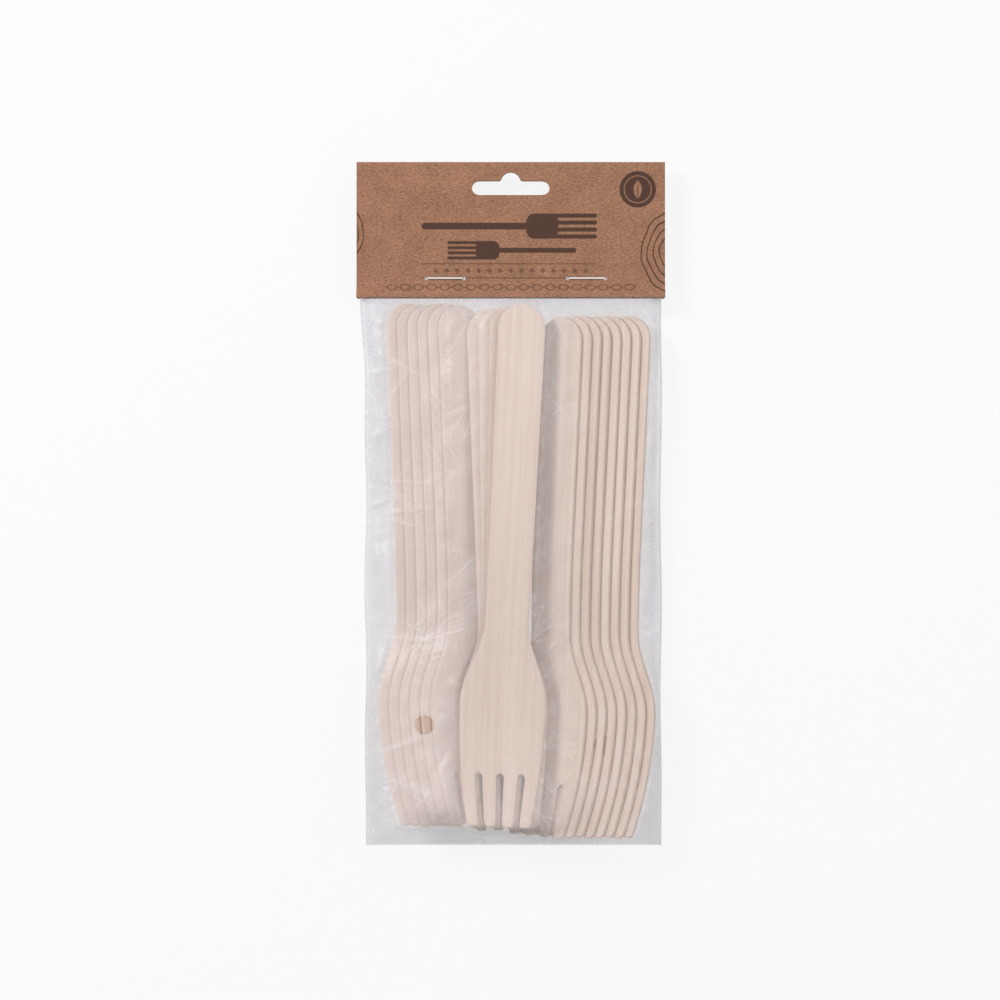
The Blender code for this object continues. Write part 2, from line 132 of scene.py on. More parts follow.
# Film bag
FILM = 0.12 * MM
LAYER_GAP = 0.3 * MM
MOUTH_AT = 91.85 * MM
FOLD_AT = -108.7 * MM
FOLD_HEIGHT = 8.0 * MM
SIDE = 47.9 * MM
LEFT_PULL = 1.8 * MM
PULL_LENGTH = 30.0 * MM
WELD_HEIGHT = 11.0 * MM
FILM_CLEARANCE = 0.3 * MM
BACK_REST = 0.06 * MM
BACK_CURL = 9.0 * MM
FRONT_COLUMNS = 120
BACK_COLUMNS = 36
HEADER_ROWS = 16
FILM_ROWS = 226
SETTLING = 4000
ACROSS_SHARE = 0.96
END_SHARE = 0.5
END_LENGTH = 16.0 * MM
SOFTENING = 0.2 * MM
SOFTENING_ROUNDS = 12
VENTS = ((-27.2 * MM, -69.6 * MM), (29.0 * MM, -76.0 * MM))
VENT_RADIUS = 3.0 * MM
HOLE_MARGIN = 1.2 * MM
LEFT_WANDER = 0.35 * MM
RIGHT_WANDER = 0.25 * MM
HELD_SHOULDER = 0.025
BACK_FALL = 12.0 * MM
WOOD_SPREAD = 3

# Waves and folds of the film, which stay clear of its welds and ends
FREE_ABOVE = 3.0 * MM
CALM_SIDES = 4.0 * MM
CALM_TOP = 8.0 * MM
CALM_BOTTOM = 5.0 * MM
WELD_STRIP = 0.8 * MM
WAVE_SEED = 3
WAVES = 26
WAVE_LENGTHS = (7.0 * MM, 26.0 * MM)
WAVES_ON_WOOD = 0.2
CRUMPLE_SEED = 8
CRUMPLES = 9
CRUMPLE_LENGTHS = (18.0 * MM, 46.0 * MM)
CRUMPLE_DRIFT = 5.0 * MM
CRUMPLE_HEIGHT = 1.6
FOLDS_ON_WOOD = 0.3
FOLD_STARTS = (0.82, 1.0)
FOLD_TURN = 1.2
FOLD_BEND = 0.14

# Two kinds of folds, each with its seed, count, reach along the bag, lengths and width
FOLD_KINDS = (
    (11, 60, (0.02, 0.98), (8.0 * MM, 24.0 * MM), 0.55 * MM),
    (5, 14, (0.75, 0.99), (14.0 * MM, 40.0 * MM), 0.7 * MM),
)


# Settings a user would change

class CutleryForkSettings(bpy.types.PropertyGroup):
    wood: bpy.props.FloatVectorProperty(
        name="Birch", description="Colour of the pale wood between the grain lines",
        subtype="COLOR", size=3, min=0.0, max=1.0, default=(0.79, 0.655, 0.575))
    grain_wood: bpy.props.FloatVectorProperty(
        name="Grain", description="Colour of the wood in the grain lines",
        subtype="COLOR", size=3, min=0.0, max=1.0, default=(0.65, 0.50, 0.41))
    edge: bpy.props.FloatProperty(
        name="Edge rounding", description="How far the edges of a fork are rounded",
        default=0.28 * MM, min=0.05 * MM, max=0.6 * MM, unit="LENGTH", precision=5)


class CutleryFilmSettings(bpy.types.PropertyGroup):
    tint: bpy.props.FloatVectorProperty(
        name="Film", description="Colour of the haze in the film",
        subtype="COLOR", size=3, min=0.0, max=1.0, default=(0.76, 0.74, 0.785))
    # Haze colour over the forks, warmer than the film's own tint: painted light scattered up from the
    # wood
    haze_with_wood_light: bpy.props.FloatVectorProperty(
        name="Film on wood", description="Colour of the haze where the film lies on the forks",
        subtype="COLOR", size=3, min=0.0, max=1.0, default=(0.80, 0.725, 0.71))
    haze: bpy.props.FloatProperty(
        name="Haze", description="Share of what lies behind one layer of film that its haze hides",
        default=0.18, min=0.0, max=1.0, subtype="FACTOR")
    slack: bpy.props.FloatProperty(
        name="Slack", description="Height of the soft waves in film that nothing holds",
        default=0.8 * MM, min=0.0, max=1.5 * MM, unit="LENGTH", precision=5)


class CutleryCardSettings(bpy.types.PropertyGroup):
    kraft: bpy.props.FloatVectorProperty(
        name="Kraft card", description="Colour of the bare card",
        subtype="COLOR", size=3, min=0.0, max=1.0, default=(0.365, 0.184, 0.112))
    ink: bpy.props.FloatVectorProperty(
        name="Ink", description="Colour of the print on the card",
        subtype="COLOR", size=3, min=0.0, max=1.0, default=(0.078, 0.036, 0.024))


class CutleryStageSettings(bpy.types.PropertyGroup):
    floor: bpy.props.FloatVectorProperty(
        name="Floor", description="Colour of the floor under the pack",
        subtype="COLOR", size=3, min=0.0, max=1.0, default=(0.82, 0.82, 0.83))
    lamp: bpy.props.FloatProperty(
        name="Main lamp", description="Power of the soft lamp at the upper left",
        default=4.25, min=0.0, max=60.0, subtype="POWER", unit="POWER")
    sky: bpy.props.FloatProperty(
        name="Room light", description="Strength of the even light from all round",
        default=0.45, min=0.0, max=2.0)


# Small tools for modelling

def mix(a, b, t):
    return a + (b - a) * t


def smoothstep(t):
    t = np.clip(t, 0.0, 1.0)
    return t * t * (3.0 - 2.0 * t)


def steps(low, high, count):
    return [mix(low, high, i / count) for i in range(count + 1)]


def near(a, b):
    return abs(a - b) < NEAR


def start_editing(obj):
    bpy.ops.object.select_all(action="DESELECT")
    obj.select_set(True)
    bpy.context.view_layer.objects.active = obj
    bpy.ops.object.mode_set(mode="EDIT")


def pick(obj, test):
    """Selects the corners whose place passes the test, in edit mode."""
    bpy.ops.mesh.select_all(action="DESELECT")
    bm = bmesh.from_edit_mesh(obj.data)
    for vert in bm.verts:
        if test(vert.co):
            vert.select_set(True)
    bm.select_flush(True)
    bmesh.update_edit_mesh(obj.data)


def pick_faces(obj, test):
    """Selects the faces whose middle passes the test, in edit mode."""
    bpy.ops.mesh.select_all(action="DESELECT")
    bm = bmesh.from_edit_mesh(obj.data)
    for face in bm.faces:
        if test(face.calc_center_median()):
            face.select_set(True)
    bmesh.update_edit_mesh(obj.data)


def slice_at(place, across):
    """Cuts the whole mesh along a plane, in edit mode."""
    bpy.ops.mesh.select_all(action="SELECT")
    bpy.ops.mesh.bisect(plane_co=place, plane_no=across)


def widen(share, centre=0.0):
    """Scales what is selected sideways about a centre line."""
    bpy.ops.transform.resize(value=(share, 1.0, 1.0), center_override=(centre, 0.0, 0.0))


def finish_with(obj, kind, **settings):
    """Adds a modifier, sets it and applies it."""
    modifier = obj.modifiers.new(kind.title(), kind)
    for name, value in settings.items():
        setattr(modifier, name, value)
    bpy.ops.object.select_all(action="DESELECT")
    obj.select_set(True)
    bpy.context.view_layer.objects.active = obj
    bpy.ops.object.modifier_apply(modifier=modifier.name)


def coordinates(obj):
    places = np.empty(len(obj.data.vertices) * 3)
    obj.data.vertices.foreach_get("co", places)
    return places.reshape(-1, 3)


# Shader maths

STREAKS_ALONG = 16.0
STREAKS_ACROSS = 120.0


class Value:
    """A number that varies over a surface. Sums on it add Math nodes to its sheet."""

    def __init__(self, sheet, socket):
        self.sheet = sheet
        self.socket = socket

    def math(self, operation, *others, clamp=False):
        inputs = dict(enumerate((self,) + others))
        return self.sheet.node("Math", inputs, operation=operation, use_clamp=clamp)["Value"]

    def __add__(self, other):
        return self.math("ADD", other)

    def __radd__(self, other):
        return self.math("ADD", other)

    def __sub__(self, other):
        return self.math("SUBTRACT", other)

    def __rsub__(self, other):
        return self.sheet.node("Math", {0: other, 1: self}, operation="SUBTRACT")["Value"]

    def __mul__(self, other):
        return self.math("MULTIPLY", other)

    def __rmul__(self, other):
        return self.math("MULTIPLY", other)

    def __truediv__(self, other):
        return self.math("DIVIDE", other)

    def __pow__(self, other):
        return self.math("POWER", other)

    def __abs__(self):
        return self.math("ABSOLUTE")

    def __or__(self, other):
        return self.math("MAXIMUM", other)

    def __and__(self, other):
        return self.math("MINIMUM", other)

    def wrap(self, period):
        """Counts from minus to plus half a period, over and over."""
        return self.math("WRAP", -period / 2, period / 2)

    def between(self, low, high):
        """Rises from 0 at low to 1 at high; low may be the larger."""
        return ((self - low) / (high - low)).math("ADD", 0.0, clamp=True)


class Outputs:
    """The named outputs of a node, each as a Value."""

    def __init__(self, sheet, node):
        self.sheet = sheet
        self.node = node

    def __getitem__(self, name):
        return Value(self.sheet, self.node.outputs[name])


class Sheet:
    """The nodes of one material or world, around the shader that it starts with."""

    def __init__(self, owner, shader="Principled BSDF"):
        owner.use_nodes = True
        self.owner = owner
        self.tree = owner.node_tree
        self.shader = self.tree.nodes[shader]

    def node(self, kind, inputs=None, **settings):
        node = self.tree.nodes.new("ShaderNode" + kind)
        for name, value in settings.items():
            setattr(node, name, value)
        for name, value in (inputs or {}).items():
            self.feed(node.inputs[name], value)
        return Outputs(self, node)

    def feed(self, socket, value):
        if isinstance(value, Value):
            self.tree.links.new(value.socket, socket)
        else:
            socket.default_value = value

    def finish(self, values):
        """Sets or links the shader's sockets by name and gives back the material or world."""
        for name, value in values.items():
            self.feed(self.shader.inputs[name], value)
        return self.owner

    def place(self):
        """Object coordinates."""
        return self.node("TexCoord")["Object"]

    def parts(self, vector):
        """The three numbers of a vector."""
        split = self.node("SeparateXYZ", {"Vector": vector})
        return split["X"], split["Y"], split["Z"]

    def attribute(self, name):
        return self.node("Attribute", attribute_name=name)["Fac"]

    def stretch(self, vector, scale):
        return self.node("VectorMath", {0: vector, 1: scale}, operation="MULTIPLY")["Vector"]

    def noise(self, vector, scale, detail=3.0, roughness=0.5, distortion=0.0):
        inputs = {"Vector": vector, "Scale": scale, "Detail": detail, "Roughness": roughness,
                  "Distortion": distortion}
        return self.node("TexNoise", inputs)["Fac"]

    def streaks(self, x, y, angle, width):
        """Long thin lines that run about one way, as the level line of a stretched noise."""
        along = x * math.cos(angle) + y * math.sin(angle)
        across = y * math.cos(angle) - x * math.sin(angle)
        inputs = {"X": along * STREAKS_ALONG, "Y": across * STREAKS_ACROSS, "Z": angle}
        place = self.node("CombineXYZ", inputs)["Vector"]
        return abs(self.noise(place, 1.0, detail=1.0) - 0.5).between(width, 0.0)

    def blend(self, factor, a, b):
        """Colour a where the factor is 0, colour b where it is 1."""
        node = self.node("Mix", data_type="RGBA").node
        for place, value in ((0, factor), (6, a), (7, b)):
            self.feed(node.inputs[place], value)
        return Value(self, node.outputs[2])

    def bump(self, height, distance, strength=1.0, base=None):
        inputs = {"Height": height, "Distance": distance, "Strength": strength}
        if base:
            inputs["Normal"] = base
        return self.node("Bump", inputs)["Normal"]


def rgba(colour):
    return (*colour, 1.0)


# Forks

def fork_half_width(s):
    """Half the flat width at the distance s from the handle end."""
    r = HANDLE_END_RADIUS
    if s < r:
        return max(math.sqrt(r * r - (r - s) ** 2), HANDLE_END_FLAT)
    if s < NECK_AT:
        return mix(r, NECK_WIDTH / 2, (s - r) / (NECK_AT - r))
    if s < HEAD_AT:
        return mix(NECK_WIDTH / 2, HEAD_WIDTH / 2, smoothstep((s - NECK_AT) / (HEAD_AT - NECK_AT)))
    t = (s - HEAD_AT) / (FORK_LENGTH - HEAD_AT)
    return mix(HEAD_WIDTH / 2, TIP_WIDTH / 2, t * t)


def fork_rise(s):
    """Height of the middle surface above the handle at the distance s from the handle end."""
    if s < DIP_STARTS_AT:
        return 0.0
    if s < BOWL_AT:
        return -BOWL_DIP * smoothstep((s - DIP_STARTS_AT) / (BOWL_AT - DIP_STARTS_AT))
    t = (s - BOWL_AT) / (FORK_LENGTH - BOWL_AT)
    return -BOWL_DIP + (BOWL_DIP + TIP_RISE) * t * t


def tine_pitch():
    """From the middle of one tine to the next."""
    return (TIP_WIDTH + TIP_GAP) / TINES


def root_radius():
    """The gaps between the tines fan out to their round roots."""
    return TIP_GAP / 2 * fork_half_width(TINE_ROOT_AT) / (TIP_WIDTH / 2)


def fork_rows():
    """Distances from the handle end at which the blank is cut across."""
    turns = [math.radians(a) for a in (25.0, 40.0, 55.0, 72.0, 90.0)]
    rows = [HANDLE_END_RADIUS * (1.0 - math.cos(a)) for a in turns]
    rows += steps(HANDLE_END_RADIUS, DIP_STARTS_AT, 3)[1:]
    rows += steps(DIP_STARTS_AT, HEAD_AT, 15)[1:]
    rows += steps(HEAD_AT, TINE_ROOT_AT, 6)[1:]
    rows += [TINE_ROOT_AT + depth for depth, _ in root_arc()]
    rows += steps(TINE_ROOT_AT + root_radius(), FORK_LENGTH - TIP_ROUNDING[0][0], 4)[1:]
    rows += [FORK_LENGTH - back for back, _ in TIP_ROUNDING[1:-1]]
    return rows


def root_arc():
    """How wide a gap between tines is, by the depth below its round root."""
    r = root_radius()
    return [(r * (1.0 - math.cos(a)), math.sin(a)) for a in (math.radians(d) for d in (30, 60, 90))]


def cut_blank():
    """Slices the blank along the edges and middles of its tines and across at its rows."""
    half = FORK_LENGTH / 2
    pitch = tine_pitch()
    tine = pitch - TIP_GAP
    for i in range(TINES):
        left = i * pitch - TIP_WIDTH / 2
        for x in (left, left + tine / 2, left + tine, left + tine + TIP_GAP / 2):
            if abs(x) < TIP_WIDTH / 2 - NEAR:
                slice_at((x, 0.0, 0.0), (1.0, 0.0, 0.0))
    for s in fork_rows():
        slice_at((0.0, half - s, 0.0), (0.0, 1.0, 0.0))


def open_gaps(obj):
    """Takes out the wood between the tines and rounds the roots of the gaps."""
    half = FORK_LENGTH / 2
    root = half - TINE_ROOT_AT
    gaps = [(i + 1 - TINES / 2) * tine_pitch() for i in range(TINES - 1)]
    pick_faces(obj, lambda c: c.y < root and any(abs(c.x - g) < TIP_GAP / 2 for g in gaps))
    bpy.ops.mesh.delete(type="FACE")
    for depth, share in [(0.0, 0.04)] + root_arc()[:-1]:
        for gap in gaps:
            pick(obj, lambda c: near(c.y, root - depth) and abs(c.x - gap) < TIP_GAP / 2 + NEAR)
            widen(share, gap)


def round_tips(obj):
    """Narrows each tine towards its tip."""
    half = FORK_LENGTH / 2
    pitch = tine_pitch()
    for back, share in TIP_ROUNDING[1:]:
        for i in range(TINES):
            middle = (i + 0.5) * pitch - (TIP_WIDTH + TIP_GAP) / 2
            pick(obj, lambda c: near(c.y, back - half) and abs(c.x - middle) < pitch / 2)
            widen(share, middle)


def shape_outline(obj):
    """Widens the blank row by row to the outline, its tines with it."""
    half = FORK_LENGTH / 2
    for s in [0.0] + fork_rows() + [FORK_LENGTH]:
        pick(obj, lambda c: near(c.y, half - s))
        widen(fork_half_width(s) / (TIP_WIDTH / 2))


def press_bowl(obj):
    """Bends the flat fork: the bowl below the handle, the tips above it."""
    half = FORK_LENGTH / 2
    for s in [s for s in fork_rows() if s > DIP_STARTS_AT] + [FORK_LENGTH]:
        pick(obj, lambda c: near(c.y, half - s))
        bpy.ops.transform.translate(value=(0.0, 0.0, fork_rise(s)))


def add_pattern_fork(edge):
    """One fork, lying flat with the middle of its length at the origin."""
    bpy.ops.object.select_all(action="DESELECT")
    bpy.ops.mesh.primitive_plane_add(size=1.0)
    fork = bpy.context.object
    start_editing(fork)
    bpy.ops.transform.resize(value=(TIP_WIDTH, FORK_LENGTH, 1.0), center_override=(0.0, 0.0, 0.0))
    cut_blank()
    open_gaps(fork)
    round_tips(fork)
    shape_outline(fork)
    bpy.ops.object.mode_set(mode="OBJECT")
    flat = fork.data.attributes.new("grain", "FLOAT_VECTOR", "POINT")
    flat.data.foreach_set("vector", coordinates(fork).ravel())
    start_editing(fork)
    press_bowl(fork)
    bpy.ops.mesh.select_all(action="SELECT")
    bpy.ops.mesh.normals_make_consistent(inside=False)
    bpy.ops.object.mode_set(mode="OBJECT")
    finish_with(fork, "SOLIDIFY", thickness=FORK_THICKNESS, offset=0.0, use_even_offset=True)
    finish_with(fork, "BEVEL", width=edge, segments=3, limit_method="ANGLE",
                angle_limit=math.radians(50.0))
    bpy.ops.object.shade_smooth_by_angle(angle=math.radians(35.0))
    return fork


def lay_fork(pattern, name, turn, number):
    """A copy of the pattern fork, turned and moved to where the frame has that fork."""
    bpy.ops.object.select_all(action="DESELECT")
    pattern.select_set(True)
    bpy.context.view_layer.objects.active = pattern
    bpy.ops.object.duplicate()
    fork = bpy.context.object
    fork.name = name
    shift = np.array(GRAIN_SHIFT) * (number + 1)
    grain = fork.data.attributes["grain"]
    flat = np.empty(len(fork.data.vertices) * 3)
    grain.data.foreach_get("vector", flat)
    grain.data.foreach_set("vector", (flat.reshape(-1, 3) + shift).ravel())
    fork.rotation_mode = "YXZ"
    roll, pitch, yaw = turn
    fork.rotation_euler = (pitch, roll, yaw)
    bpy.ops.object.transform_apply(location=False, rotation=True, scale=False)
    places = coordinates(fork)
    middle = Vector((places.min(axis=0) + places.max(axis=0)) / 2)
    low, high = (Vector(corner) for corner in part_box(f"fork_{number + 1:02d}"))
    fork.location = (low + high) / 2 - middle
    bpy.ops.object.transform_apply(location=True, rotation=False, scale=False)
    return fork


def fork_turns():
    """How each fork lies, in the order of the frame's forks."""
    turns = []
    for count, roll, pitch, yaw in (LEFT_DECK, RIGHT_DECK):
        turns += [(roll, pitch, yaw)] * count
    return turns + [(STACK_ROLL, STACK_PITCH, yaw) for yaw in STACK_YAWS]


def birch(settings):
    """Pale birch veneer: long faint grain, short dark flecks and a tint of its own per fork."""
    sheet = Sheet(bpy.data.materials.new("birch"))
    place = sheet.node("Attribute", attribute_name="grain")["Vector"]
    lines = sheet.noise(sheet.stretch(place, (900.0, 14.0, 900.0)), 1.0, detail=5.0, distortion=0.25)
    bands = sheet.noise(sheet.stretch(place, (150.0, 5.0, 150.0)), 1.0, detail=2.0, distortion=0.6)
    flecks = sheet.noise(sheet.stretch(place, (2600.0, 240.0, 2600.0)), 1.0, detail=1.0)
    tint = sheet.noise(sheet.stretch(place, (4.0, 4.0, 4.0)), 1.0, detail=0.0)
    grain = lines.between(0.40, 0.72) * 0.55 + bands.between(0.35, 0.8) * 0.45
    grain = grain + flecks.between(0.66, 0.78) * 0.25 + (tint - 0.5) * 0.5
    colour = sheet.blend(grain.between(0.0, 1.0), rgba(settings.wood), rgba(settings.grain_wood))
    rough = 0.62 + lines * 0.16
    relief = sheet.bump(lines * 0.7 + flecks * 0.3, 0.05 * MM, 0.35)
    return sheet.finish({"Base Color": colour, "Roughness": rough, "Normal": relief,
                         "Specular IOR Level": 0.3})


class CutleryForks(bpy.types.Operator):
    """Model one pressed fork and lay its copies where the frame has them"""
    bl_idname = "cutlery.forks"
    bl_label = "Forks"

    def execute(self, context):
        settings = context.scene.cutlery_forks
        pattern = add_pattern_fork(settings.edge)
        pattern.data.materials.append(birch(settings))
        for number, turn in enumerate(fork_turns()):
            name = f"fork_{number + 1:02d}"
            fork = lay_fork(pattern, name + "_wood", turn, number)
            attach(fork, BODY)
            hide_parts(name)
        bpy.data.objects.remove(pattern)
        return {"FINISHED"}


# Film bag

def forks_tree():
    """All the forks as one tree for rays."""
    corners = []
    faces = []
    for obj in bpy.data.objects:
        if obj.name.endswith("_wood"):
            start = len(corners)
            corners += [tuple(v.co) for v in obj.data.vertices]
            faces += [[start + i for i in polygon.vertices] for polygon in obj.data.polygons]
    return BVHTree.FromPolygons(corners, faces)


def film_rows():
    """Rows from the mouth to the bottom fold: a few under the card, fine ones around the forks."""
    return np.array(steps(MOUTH_AT, CARD_EDGE, HEADER_ROWS) + steps(CARD_EDGE, FOLD_AT, FILM_ROWS)[1:])


def film_sides(y):
    """Where the welds run on the left and on the right."""
    below = np.clip((CARD_EDGE - y) / (CARD_EDGE - FOLD_AT), 0.0, 1.0)
    swell = np.sin(below * 3.1)
    wander = LEFT_WANDER * np.sin(below * 21.0) * swell
    left = -SIDE + LEFT_PULL * smoothstep((CARD_EDGE - y) / PULL_LENGTH) + wander
    right = SIDE - RIGHT_WANDER * swell * (1.0 + np.cos(below * 17.0))
    return left, right


def weld_heights(y):
    """Height of the side welds: flat under the card, lifted beside the forks, low at the fold."""
    up = smoothstep((CARD_EDGE - y) / PULL_LENGTH)
    down = smoothstep((y - FOLD_AT) / PULL_LENGTH)
    return mix(mix(CARD_MID_HEIGHT, WELD_HEIGHT, up), FOLD_HEIGHT, 1.0 - down)


def header_lift(y):
    """How far each layer is from the middle of the header, which opens below the staples."""
    t = np.clip((FLARE_START - y) / (FLARE_START - CARD_EDGE), 0.0, 1.0)
    return LAYER_GAP / 2 + CARD_FLARE * t ** 1.5


def fork_tops(tree, x, y):
    """Height of the film's lowest place over the forks on the grid, with room to all sides."""
    tops = np.full(x.shape, -1.0)
    down = Vector((0.0, 0.0, -1.0))
    above = CAD_BOX[1][2] + FILM_CLEARANCE
    for index in np.ndindex(x.shape):
        hit = tree.ray_cast(Vector((x[index], y[index], above)), down)[0]
        if hit:
            tops[index] = hit.z + FILM_CLEARANCE
    padded = np.pad(tops, 1, mode="edge")
    rows, columns = tops.shape
    return np.max([padded[i:i + rows, j:j + columns] for i in range(3) for j in range(3)], axis=0)


def settle(height, lowest, fixed, share, rounds):
    """Draws the film tight over the forks, by some share across the pack and the rest along it."""
    for _ in range(rounds):
        across = (height[1:-1, :-2] + height[1:-1, 2:]) / 2
        along = (height[:-2, 1:-1] + height[2:, 1:-1]) / 2
        drawn = height.copy()
        drawn[1:-1, 1:-1] = mix(along, across, share)
        height = np.where(fixed, height, np.maximum(drawn, lowest))
    return height


def soften(marks, rounds):
    """Spreads marks on a grid over their neighbours."""
    for _ in range(rounds):
        padded = np.pad(marks, 1, mode="edge")
        marks = (padded[:-2, 1:-1] + padded[2:, 1:-1] + padded[1:-1, :-2] + padded[1:-1, 2:]) / 4
    return marks


def soft_waves(x, y, seed, count=WAVES):
    """Waves of many directions and lengths, between 0 and 1."""
    random = np.random.default_rng(seed)
    total = np.zeros_like(x)
    for _ in range(count):
        length = random.uniform(*WAVE_LENGTHS)
        angle = random.uniform(0.0, math.pi)
        phase = random.uniform(0.0, 2 * math.pi)
        total += np.cos((x * math.cos(angle) + y * math.sin(angle)) * 2 * math.pi / length + phase)
    return np.clip(0.5 + total / (0.55 * count), 0.0, 1.0)


def crumples(x, y, seed):
    """Flat facets that meet in sharp folds, as in creased film, between 0 and 1."""
    random = np.random.default_rng(seed)
    drift = CRUMPLE_DRIFT * (soft_waves(x, y, seed + 1, 8) - 0.5)
    total = np.zeros_like(x)
    for _ in range(CRUMPLES):
        length = random.uniform(*CRUMPLE_LENGTHS)
        angle = random.uniform(0.0, math.pi)
        phase = random.uniform(0.0, 1.0)
        along = (x * math.cos(angle) + y * math.sin(angle) + drift) / length + phase
        total += np.abs(2.0 * (along - np.floor(along)) - 1.0)
    return np.clip(total / CRUMPLES * 2.0 - 0.5, 0.0, 1.0)


def creases(x, y, seed, count, starts, length, width):
    """Narrow folds that run from the welds inwards and bend a little, as a share of their height."""
    random = np.random.default_rng(seed)
    total = np.zeros_like(x)
    for _ in range(count):
        along = random.uniform(*starts)
        side = random.choice((-1.0, 1.0))
        start = (side * SIDE * random.uniform(*FOLD_STARTS), mix(CARD_EDGE, FOLD_AT, along))
        angle = random.uniform(-FOLD_TURN, FOLD_TURN)
        run = (-side * math.cos(angle), math.sin(angle))
        reach = random.uniform(*length)
        t = ((x - start[0]) * run[0] + (y - start[1]) * run[1]) / reach
        bend = random.uniform(-FOLD_BEND, FOLD_BEND) * reach * t * t
        off = np.abs((y - start[1]) * run[0] - (x - start[0]) * run[1] + bend)
        taper = np.clip(t * 6.0, 0.0, 1.0) * np.clip(1.0 - t, 0.0, 1.0)
        total = np.maximum(total, random.uniform(0.3, 1.0) * taper * np.exp(-off / width))
    return total


def held_heights(rows, share):
    """Heights that the front layer is drawn down from, and which of them are held."""
    welds = weld_heights(rows)[:, None]
    under_card = (CARD_MID_HEIGHT + header_lift(rows))[:, None]
    shoulder = np.clip(np.minimum(share, 1.0 - share) / HELD_SHOULDER, 0.0, 1.0)
    header = rows > CARD_EDGE - NEAR
    height = np.where(header[:, None], mix(welds, under_card, shoulder), welds)
    fixed = np.zeros(height.shape, bool)
    fixed[header] = True
    fixed[-1] = True
    fixed[:, 0] = True
    fixed[:, -1] = True
    return height, fixed


def draw_down(height, tops, fixed, rows):
    """Draws the front layer tight across the forks, and sloping at the card and at the bottom fold."""
    to_ends = np.minimum(CARD_EDGE - rows, rows - FOLD_AT)[1:-1, None]
    share = mix(END_SHARE, ACROSS_SHARE, smoothstep(to_ends / END_LENGTH))
    height = settle(np.maximum(height, tops), tops, fixed, share, SETTLING)
    return settle(height, tops - SOFTENING, fixed, END_SHARE, SOFTENING_ROUNDS)


def front_layer(tree, rows, slack):
    """The grid of the front layer, from the left weld to the right weld, and what marks its places."""
    left, right = (side[:, None] for side in film_sides(rows))
    share = np.linspace(0.0, 1.0, FRONT_COLUMNS + 1)
    x = left + (right - left) * share
    y = np.repeat(rows[:, None], FRONT_COLUMNS + 1, axis=1)
    inward = np.minimum(x - left, right - x)
    height, fixed = held_heights(rows, share)
    tops = np.where(fixed, -1.0, fork_tops(tree, x, y))
    height = draw_down(height, tops, fixed, rows)
    free = smoothstep((height - tops) / FREE_ABOVE) * np.where(fixed, 0.0, 1.0)
    calm = smoothstep(inward / CALM_SIDES) * smoothstep((CARD_EDGE - y) / CALM_TOP)
    calm = calm * smoothstep((y - FOLD_AT) / CALM_BOTTOM)
    folds = np.max([creases(x, y, *kind) for kind in FOLD_KINDS], axis=0) * calm
    height = height + slack * soft_waves(x, y, WAVE_SEED) * calm * (WAVES_ON_WOOD + free)
    height = height + slack * CRUMPLE_HEIGHT * crumples(x, y, CRUMPLE_SEED) * calm * free
    height = height + slack * folds * (FOLDS_ON_WOOD + free)
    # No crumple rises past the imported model
    height = np.minimum(height, CAD_BOX[1][2] - FILM / 2)
    weld = smoothstep(1.5 - inward / WELD_STRIP) * (y < CARD_EDGE)
    wood = soften(np.where(tops > 0.0, 1.0, 0.0), WOOD_SPREAD)
    return x, y, height, {"loose": free, "crease": np.maximum(folds, weld), "wood": wood}


def back_layer(rows):
    """The grid of the back layer, from the right weld to the left weld."""
    left, right = (side[:, None] for side in film_sides(rows))
    share = (1.0 - np.cos(np.linspace(0.0, math.pi, BACK_COLUMNS + 1))) / 2
    x = right + (left - right) * share
    y = np.repeat(rows[:, None], BACK_COLUMNS + 1, axis=1)
    inward = np.minimum(x - left, right - x)
    curl = np.clip(1.0 - inward / BACK_CURL, 0.0, 1.0) ** 2
    down = smoothstep((CARD_EDGE - y) / PULL_LENGTH * 2.0) * smoothstep((y - FOLD_AT) / BACK_FALL)
    under_card = CARD_MID_HEIGHT - header_lift(rows)[:, None]
    rest = mix(under_card, BACK_REST, 1.0 - (1.0 - down) ** 2)
    return x, y, mix(rest, weld_heights(rows)[:, None], curl)


def roll_into_bag(front, back):
    """Rolls one fine grid round into a sleeve through the rows of both layers."""
    *front, marks = front
    rows = len(front[0])
    around = FRONT_COLUMNS + BACK_COLUMNS
    bpy.ops.object.select_all(action="DESELECT")
    bpy.ops.mesh.primitive_grid_add(x_subdivisions=around, y_subdivisions=rows - 1, size=1.0)
    film = bpy.context.object
    layers = [np.concatenate((a, b[:, 1:]), axis=1) for a, b in zip(front, back)]
    places = np.stack(layers, axis=-1)[::-1]
    film.data.vertices.foreach_set("co", places.ravel())
    blank = np.zeros_like(back[0][:, 1:])
    for name, mark in marks.items():
        attribute = film.data.attributes.new(name, "FLOAT", "POINT")
        attribute.data.foreach_set("value", np.concatenate((mark, blank), axis=1)[::-1].ravel())
    film.data.update()
    return film


def punch(film, x, y, radius, low):
    """Opens a round hole through the layer above a height and draws its edge round."""
    pick_faces(film, lambda c: math.hypot(c.x - x, c.y - y) < radius + HOLE_MARGIN and c.z > low)
    bpy.ops.mesh.subdivide(number_cuts=2)
    pick_faces(film, lambda c: math.hypot(c.x - x, c.y - y) < radius and c.z > low)
    bpy.ops.mesh.delete(type="FACE")
    bm = bmesh.from_edit_mesh(film.data)
    for vert in bm.verts:
        off = Vector((vert.co.x - x, vert.co.y - y, 0.0))
        if vert.is_boundary and off.length < radius + HOLE_MARGIN and vert.co.z > low:
            vert.co += off.normalized() * (radius - off.length)
    bmesh.update_edit_mesh(film.data)


